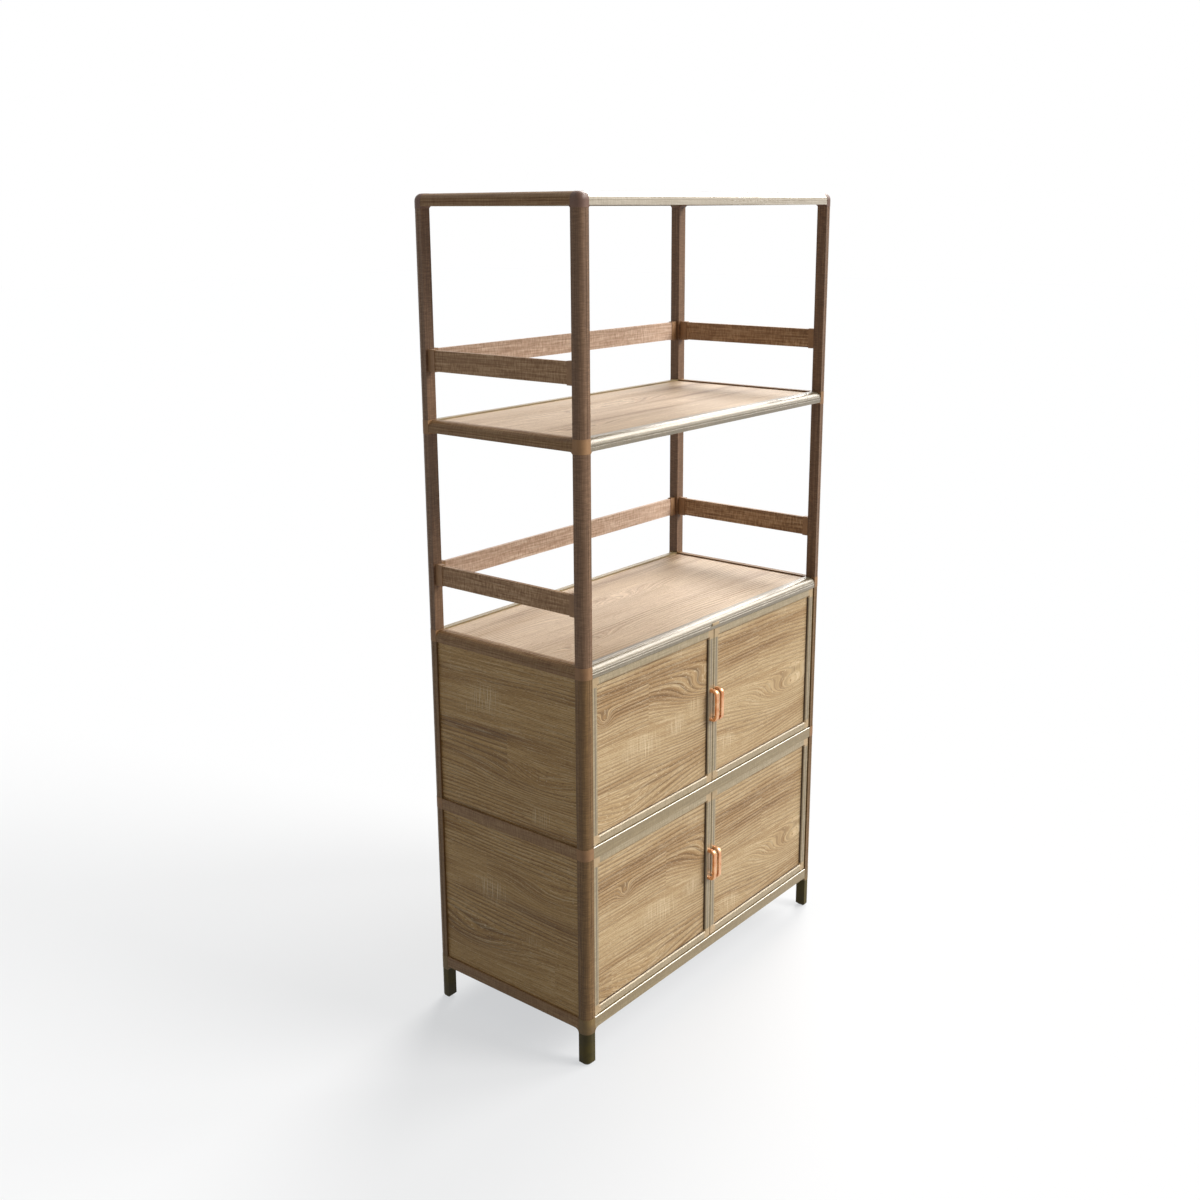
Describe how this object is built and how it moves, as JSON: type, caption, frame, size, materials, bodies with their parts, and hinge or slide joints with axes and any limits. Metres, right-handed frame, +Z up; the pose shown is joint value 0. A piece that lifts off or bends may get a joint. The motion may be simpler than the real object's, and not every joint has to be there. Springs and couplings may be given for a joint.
{
  "type": "storage cabinet",
  "caption": "Tall knock-down cabinet on post feet: two open bays with low galleries above, two tiers of paired framed doors below.",
  "frame": {"origin": "on the floor under the middle of the whole object's bounding box, pulls included", "axes": "+Z up, -Y out of the doors, +X to the right seen from the front"},
  "size_m": [0.9, 0.458, 1.79],
  "materials": {
    "film_aluminium": "satin wood-grain film",
    "door_aluminium": "satin champagne",
    "oak_board": "matte laminate",
    "joint_plastic": "satin",
    "door_plastic": "satin",
    "foot_plastic": "matte",
    "socket_plastic": "matte",
    "gallery_strip": "satin film",
    "pull_metal": "polished rose gold",
    "pin_steel": "satin",
    "strike_steel": "satin",
    "catch_plastic": "matte"
  },
  "bodies": {
    "cabinet": {"back_boards": "oak_board", "base_back_rail": "film_aluminium", "base_corner_joints": "joint_plastic", "base_front_rail": "film_aluminium", "base_side_rails": "film_aluminium", "bottom_board": "oak_board", "counter_back_rail": "film_aluminium", "counter_board": "oak_board", "counter_corner_joints": "joint_plastic", "counter_front_rail": "film_aluminium", "counter_gallery_back": "gallery_strip", "counter_gallery_sides": "gallery_strip", "counter_side_rails": "film_aluminium", "door_catches": "catch_plastic", "feet": "foot_plastic", "gallery_sockets": "socket_plastic", "hinge_pins": "pin_steel", "left_side_boards": "oak_board", "middle_back_rail": "film_aluminium", "middle_board": "oak_board", "middle_corner_joints": "joint_plastic", "middle_front_rail": "film_aluminium", "middle_side_rails": "film_aluminium", "post_back_left": "film_aluminium", "post_back_right": "film_aluminium", "post_front_left": "film_aluminium", "post_front_right": "film_aluminium", "right_side_boards": "oak_board", "shelf_back_rail": "film_aluminium", "shelf_board": "oak_board", "shelf_corner_joints": "joint_plastic", "shelf_front_rail": "film_aluminium", "shelf_gallery_back": "gallery_strip", "shelf_gallery_sides": "gallery_strip", "shelf_side_rails": "film_aluminium", "top_back_rail": "film_aluminium", "top_board": "oak_board", "top_corner_joints": "joint_plastic", "top_front_rail": "film_aluminium", "top_side_rails": "film_aluminium"},
    "upper_left_door": {"upper_left_door_corners": "door_plastic", "upper_left_door_frame": "door_aluminium", "upper_left_door_panel": "oak_board", "upper_left_door_pull": "pull_metal", "upper_left_door_strike": "strike_steel"},
    "upper_right_door": {"upper_right_door_corners": "door_plastic", "upper_right_door_frame": "door_aluminium", "upper_right_door_panel": "oak_board", "upper_right_door_pull": "pull_metal", "upper_right_door_strike": "strike_steel"},
    "lower_left_door": {"lower_left_door_corners": "door_plastic", "lower_left_door_frame": "door_aluminium", "lower_left_door_panel": "oak_board", "lower_left_door_pull": "pull_metal", "lower_left_door_strike": "strike_steel"},
    "lower_right_door": {"lower_right_door_corners": "door_plastic", "lower_right_door_frame": "door_aluminium", "lower_right_door_panel": "oak_board", "lower_right_door_pull": "pull_metal", "lower_right_door_strike": "strike_steel"}
  },
  "joints": [
    {"name": "upper_left_door_hinge", "type": "hinge", "parent": "cabinet", "child": "upper_left_door", "pos_m": [-0.415, -0.203, 0.6775], "axis": [0, 0, -1], "range_deg": [0, 105]},
    {"name": "upper_right_door_hinge", "type": "hinge", "parent": "cabinet", "child": "upper_right_door", "pos_m": [0.415, -0.203, 0.6775], "axis": [0, 0, 1], "range_deg": [0, 105]},
    {"name": "lower_left_door_hinge", "type": "hinge", "parent": "cabinet", "child": "lower_left_door", "pos_m": [-0.415, -0.203, 0.2895], "axis": [0, 0, -1], "range_deg": [0, 105]},
    {"name": "lower_right_door_hinge", "type": "hinge", "parent": "cabinet", "child": "lower_right_door", "pos_m": [0.415, -0.203, 0.2895], "axis": [0, 0, 1], "range_deg": [0, 105]}
  ]
}
